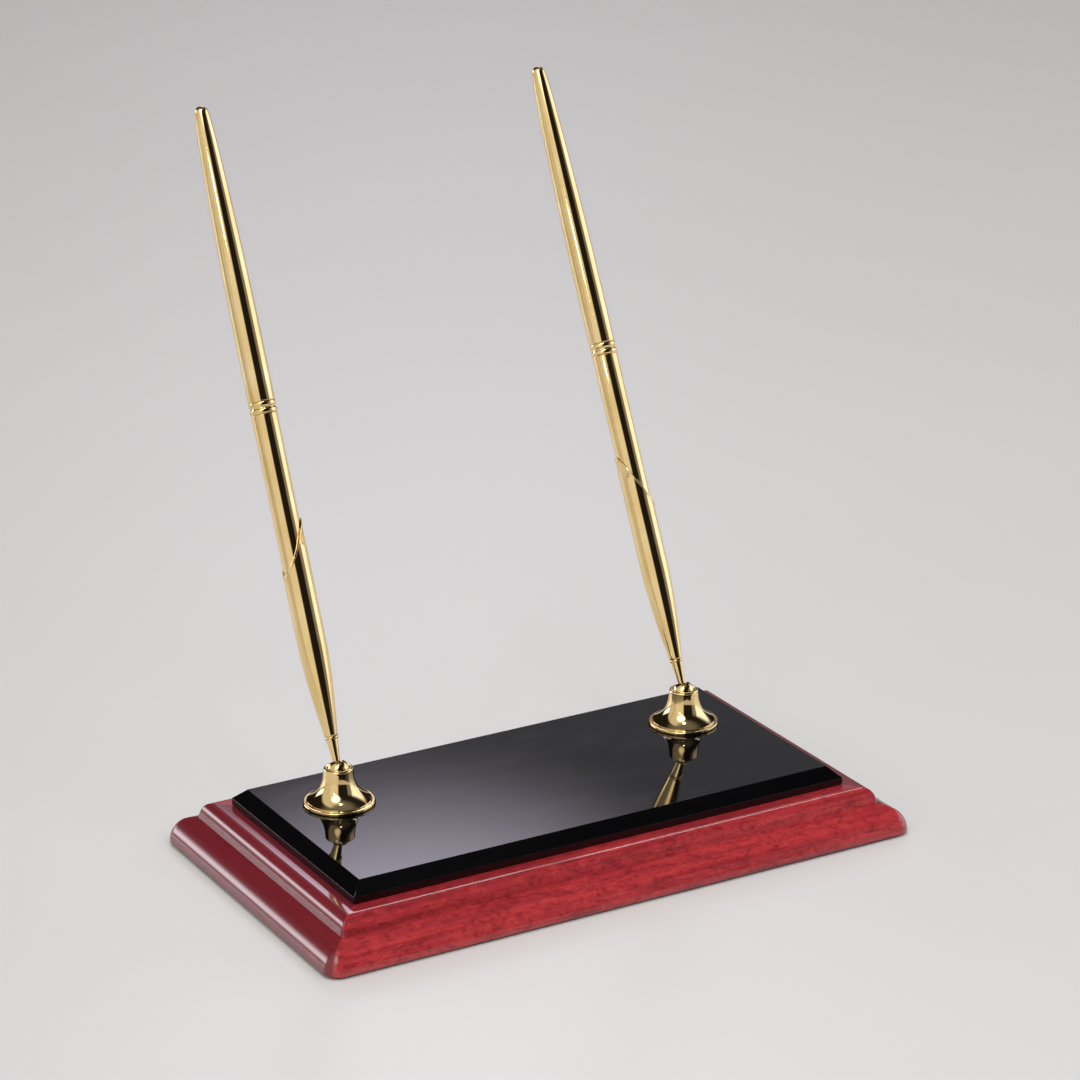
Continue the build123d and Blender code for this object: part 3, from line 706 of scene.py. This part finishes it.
for side in ("left", "right"):
    seat_at = Matrix.Translation((SIDE_X[side] * MM, HOLDER_Y * MM, P * MM))
    pen_at = (Matrix.Translation((SIDE_X[side] * MM, HOLDER_Y * MM, (P + BALL_Z) * MM))
              @ Matrix.Rotation(radians(-LEAN[side]), 4, "X") @ Matrix.Rotation(radians(TURN[side]), 4, "Z"))
    dress(swept_round(bell_outline, side + "_trumpet_bell", seat_at, 160), "gold", "stand", side + "_bell")
    dress(swept_round(seat_outline, side + "_ball_seat", seat_at, 96), "nylon", side + "_seat", side + "_seat_ring")
    dress(swept_round(ball_outline, side + "_ball", pen_at, 120), "gold", side + "_ball", side + "_swivel_ball")
    dress(swept_round(liner_outline, side + "_liner", pen_at, 80), "black_liner", side + "_liner", side + "_pen_liner")
    dress(swept_round(upper_outline, side + "_barrel_upper", pen_at, 128), "gold_barrel", side + "_barrel", side + "_upper_barrel")
    dress(swept_round(band_outline, side + "_band", pen_at, 128), "gold", side + "_band", side + "_centre_band")
    dress(swept_round(coupling_stations, side + "_threaded_coupling", pen_at, 72), "refill_brass", side + "_pen", side + "_coupling")
    dress(swept_round(lower_outline, side + "_barrel_lower", pen_at, 128), "gold_barrel", side + "_pen", side + "_lower_barrel")
    dress(swept_round(sleeve_stations, side + "_sleeve", pen_at, 144), "gold_barrel", side + "_pen", side + "_front_sleeve")
    dress(swept_round(nose_ring_outline, side + "_nose_bead", pen_at, 96), "gold", side + "_pen", side + "_nose_ring")
    dress(swept_round(nose_cone_outline, side + "_nose_tip", pen_at, 96), "gold", side + "_pen", side + "_nose_cone")

# ----------------------------------------------------------------------- stage
fm = Nodes("pale_floor")
fn = fm.noise(fm.coords((3, 3, 3)), 1.0, 3.0, 0.5)
ff = fm.noise(fm.coords((260, 260, 260)), 1.0, 3.0, 0.6)
fm.set(Base_Color=fm.mix(fn, (0.66, 0.655, 0.65), (0.70, 0.695, 0.69)), Roughness=fm.span(ff, 0.30, 0.36, 0.3, 0.7),
       Specular_IOR_Level=0.4)
bm = bmesh.new()
bmesh.ops.create_grid(bm, x_segments=4, y_segments=4, size=7.0, matrix=Matrix.Translation((0, 0, -0.0002)))
floor_obj = to_object(bm, "studio_floor")
floor_obj.data.materials.append(fm.mat)

# camera, solved from the plate's corners
cam_data = bpy.data.cameras.new("camera")
cam_data.lens = 125.68
cam_data.sensor_width = 36.0
cam_data.sensor_fit = "HORIZONTAL"
cam_data.clip_start, cam_data.clip_end = 0.05, 60.0
cam = bpy.data.objects.new("camera", cam_data)
scene.collection.objects.link(cam)
right = Vector((0.87002368, -0.49291491, -0.00967938))
up = Vector((0.17575674, 0.29175809, 0.94020571))
fwd = Vector((0.46061737, 0.81970245, -0.34046956))
at = Vector((-0.517505, -0.923531, 0.480309))
cam.matrix_world = Matrix(((right.x, up.x, -fwd.x, at.x), (right.y, up.y, -fwd.y, at.y), (right.z, up.z, -fwd.z, at.z), (0, 0, 0, 1)))
scene.camera = cam


def softbox(name, towards, elevation_deg, distance, size, power, mirrored=False, colour=(1, 1, 1), aim=(0, 0, 0.05)):
    """Area light in the direction (x, y) at an elevation, facing the object.
    Only mirrored ones are seen in polished surfaces, which otherwise see the sky."""
    d = Vector((towards[0], towards[1], 0)).normalized()
    e = radians(elevation_deg)
    pos = Vector(aim) + Vector((d.x * cos(e), d.y * cos(e), sin(e))) * distance
    data = bpy.data.lights.new(name, "AREA")
    data.shape = "RECTANGLE"
    data.size, data.size_y = size
    data.energy = power
    data.color = colour
    obj = bpy.data.objects.new(name, data)
    scene.collection.objects.link(obj)
    obj.matrix_world = Matrix.Translation(pos) @ (pos - Vector(aim)).to_track_quat("Z", "Y").to_matrix().to_4x4()
    obj.visible_camera = False
    obj.visible_glossy = mirrored
    return obj


softbox("key", (0.17, -0.98), 48, 1.9, (1.9, 1.5), 17)
softbox("overhead", (0.1, 0.1), 86, 2.0, (0.8, 0.8), 8)
softbox("back_line", (0.62, 0.79), 42, 1.8, (0.9, 0.13), 1.5, True)
softbox("glint_low", (-0.84, -0.545), 29, 1.9, (0.11, 0.11), 0.7, True)
softbox("glint_high", (-0.31, -0.95), 76, 1.9, (0.16, 0.16), 1.6, True)

world = bpy.data.worlds.new("studio")
scene.world = world
world.use_nodes = True
wt = world.node_tree
wt.nodes.clear()
wo = wt.nodes.new("ShaderNodeOutputWorld")
wb = wt.nodes.new("ShaderNodeBackground")
wt.links.new(wb.outputs[0], wo.inputs[0])
wc = wt.nodes.new("ShaderNodeTexCoord")


def lobe(direction, inner, outer):
    """1 towards a direction, falling smoothly to 0 between two angles in degrees."""
    d = Vector(direction).normalized()
    dot = wt.nodes.new("ShaderNodeVectorMath")
    dot.operation = "DOT_PRODUCT"
    dot.inputs[1].default_value = d
    wt.links.new(wc.outputs["Generated"], dot.inputs[0])
    mr = wt.nodes.new("ShaderNodeMapRange")
    mr.interpolation_type = "SMOOTHERSTEP"
    mr.inputs["From Min"].default_value = cos(radians(outer))
    mr.inputs["From Max"].default_value = cos(radians(inner))
    wt.links.new(dot.outputs["Value"], mr.inputs["Value"])
    return mr.outputs["Result"]


def layer(base, fac, colour):
    mx = wt.nodes.new("ShaderNodeMix")
    mx.data_type = "RGBA"
    wt.links.new(fac, mx.inputs[0])
    if isinstance(base, tuple):
        mx.inputs[6].default_value = (*base, 1)
    else:
        wt.links.new(base, mx.inputs[6])
    mx.inputs[7].default_value = (*colour, 1)
    return mx.outputs[2]


def bearing(azimuth, elevation):
    a, e = radians(azimuth), radians(elevation)
    return (cos(e) * cos(a), cos(e) * sin(a), sin(e))


def calc(op, a, b=None):
    n = wt.nodes.new("ShaderNodeMath")
    n.operation = op
    for i, v in enumerate((a, b)):
        if isinstance(v, (int, float)):
            n.inputs[i].default_value = v
        elif v is not None:
            wt.links.new(v, n.inputs[i])
    return n.outputs[0]


def edge(value, lo, hi):
    mr = wt.nodes.new("ShaderNodeMapRange")
    mr.interpolation_type = "SMOOTHERSTEP"
    mr.inputs["From Min"].default_value = lo
    mr.inputs["From Max"].default_value = hi
    wt.links.new(value, mr.inputs["Value"])
    return mr.outputs["Result"]


def panel(centre, half, soft, low, high, soft_low=8, soft_high=10):
    """1 inside a soft-edged patch of sky: azimuth centre +- half, elevation low
    to high, all in degrees. A soft pair gives the two sides their own widths."""
    turned = wt.nodes.new("ShaderNodeVectorRotate")
    turned.rotation_type = "Z_AXIS"
    turned.inputs["Angle"].default_value = -radians(centre)
    wt.links.new(wc.outputs["Generated"], turned.inputs["Vector"])
    xyz = wt.nodes.new("ShaderNodeSeparateXYZ")
    wt.links.new(turned.outputs["Vector"], xyz.inputs[0])
    azimuth = calc("MULTIPLY", calc("ARCTAN2", xyz.outputs[1], xyz.outputs[0]), 180 / pi)
    elevation = calc("MULTIPLY", calc("ARCSINE", xyz.outputs[2]), 180 / pi)
    s0, s1 = soft if isinstance(soft, tuple) else (soft, soft)
    fac = calc("MULTIPLY", edge(azimuth, -half - s0 / 2, -half + s0 / 2), edge(azimuth, half + s1 / 2, half - s1 / 2))
    fac = calc("MULTIPLY", fac, edge(elevation, low - soft_low / 2, low + soft_low / 2))
    return calc("MULTIPLY", fac, edge(elevation, high + soft_high / 2, high - soft_high / 2))


sky = (0.014, 0.013, 0.013)
sky = layer(sky, lobe((0, 0, 1), 8, 38), (0.15, 0.15, 0.15))
sky = layer(sky, panel(190, 49, (16, 11), -30, 76, 8, 20), (0.66, 0.65, 0.63))
sky = layer(sky, panel(212, 24, (16, 9), -30, 62, 8, 20), (0.82, 0.80, 0.77))
sky = layer(sky, panel(313, 14, (12, 10), -30, 34, 8, 18), (0.24, 0.24, 0.25))
sky = layer(sky, panel(353, 28, (14, 16), -30, 34, 8, 18), (1.35, 1.37, 1.52))
sky = layer(sky, panel(122, 15, 14, 5, 15.5, 11, 13), (6.0, 5.8, 6.0))
sky = layer(sky, lobe(bearing(222, 52), 2, 21), (4.0, 3.85, 3.5))
sky = layer(sky, lobe(bearing(60, 24), 8, 24), (0.235, 0.23, 0.245))
sky = layer(sky, lobe(bearing(62.8, 30), 1, 7.5), (3.9, 3.6, 4.3))
wt.links.new(sky, wb.inputs["Color"])
wb.inputs["Strength"].default_value = 1.0

scene.view_settings.view_transform = "Standard"
scene.view_settings.look = "None"
scene.view_settings.exposure = 0.0
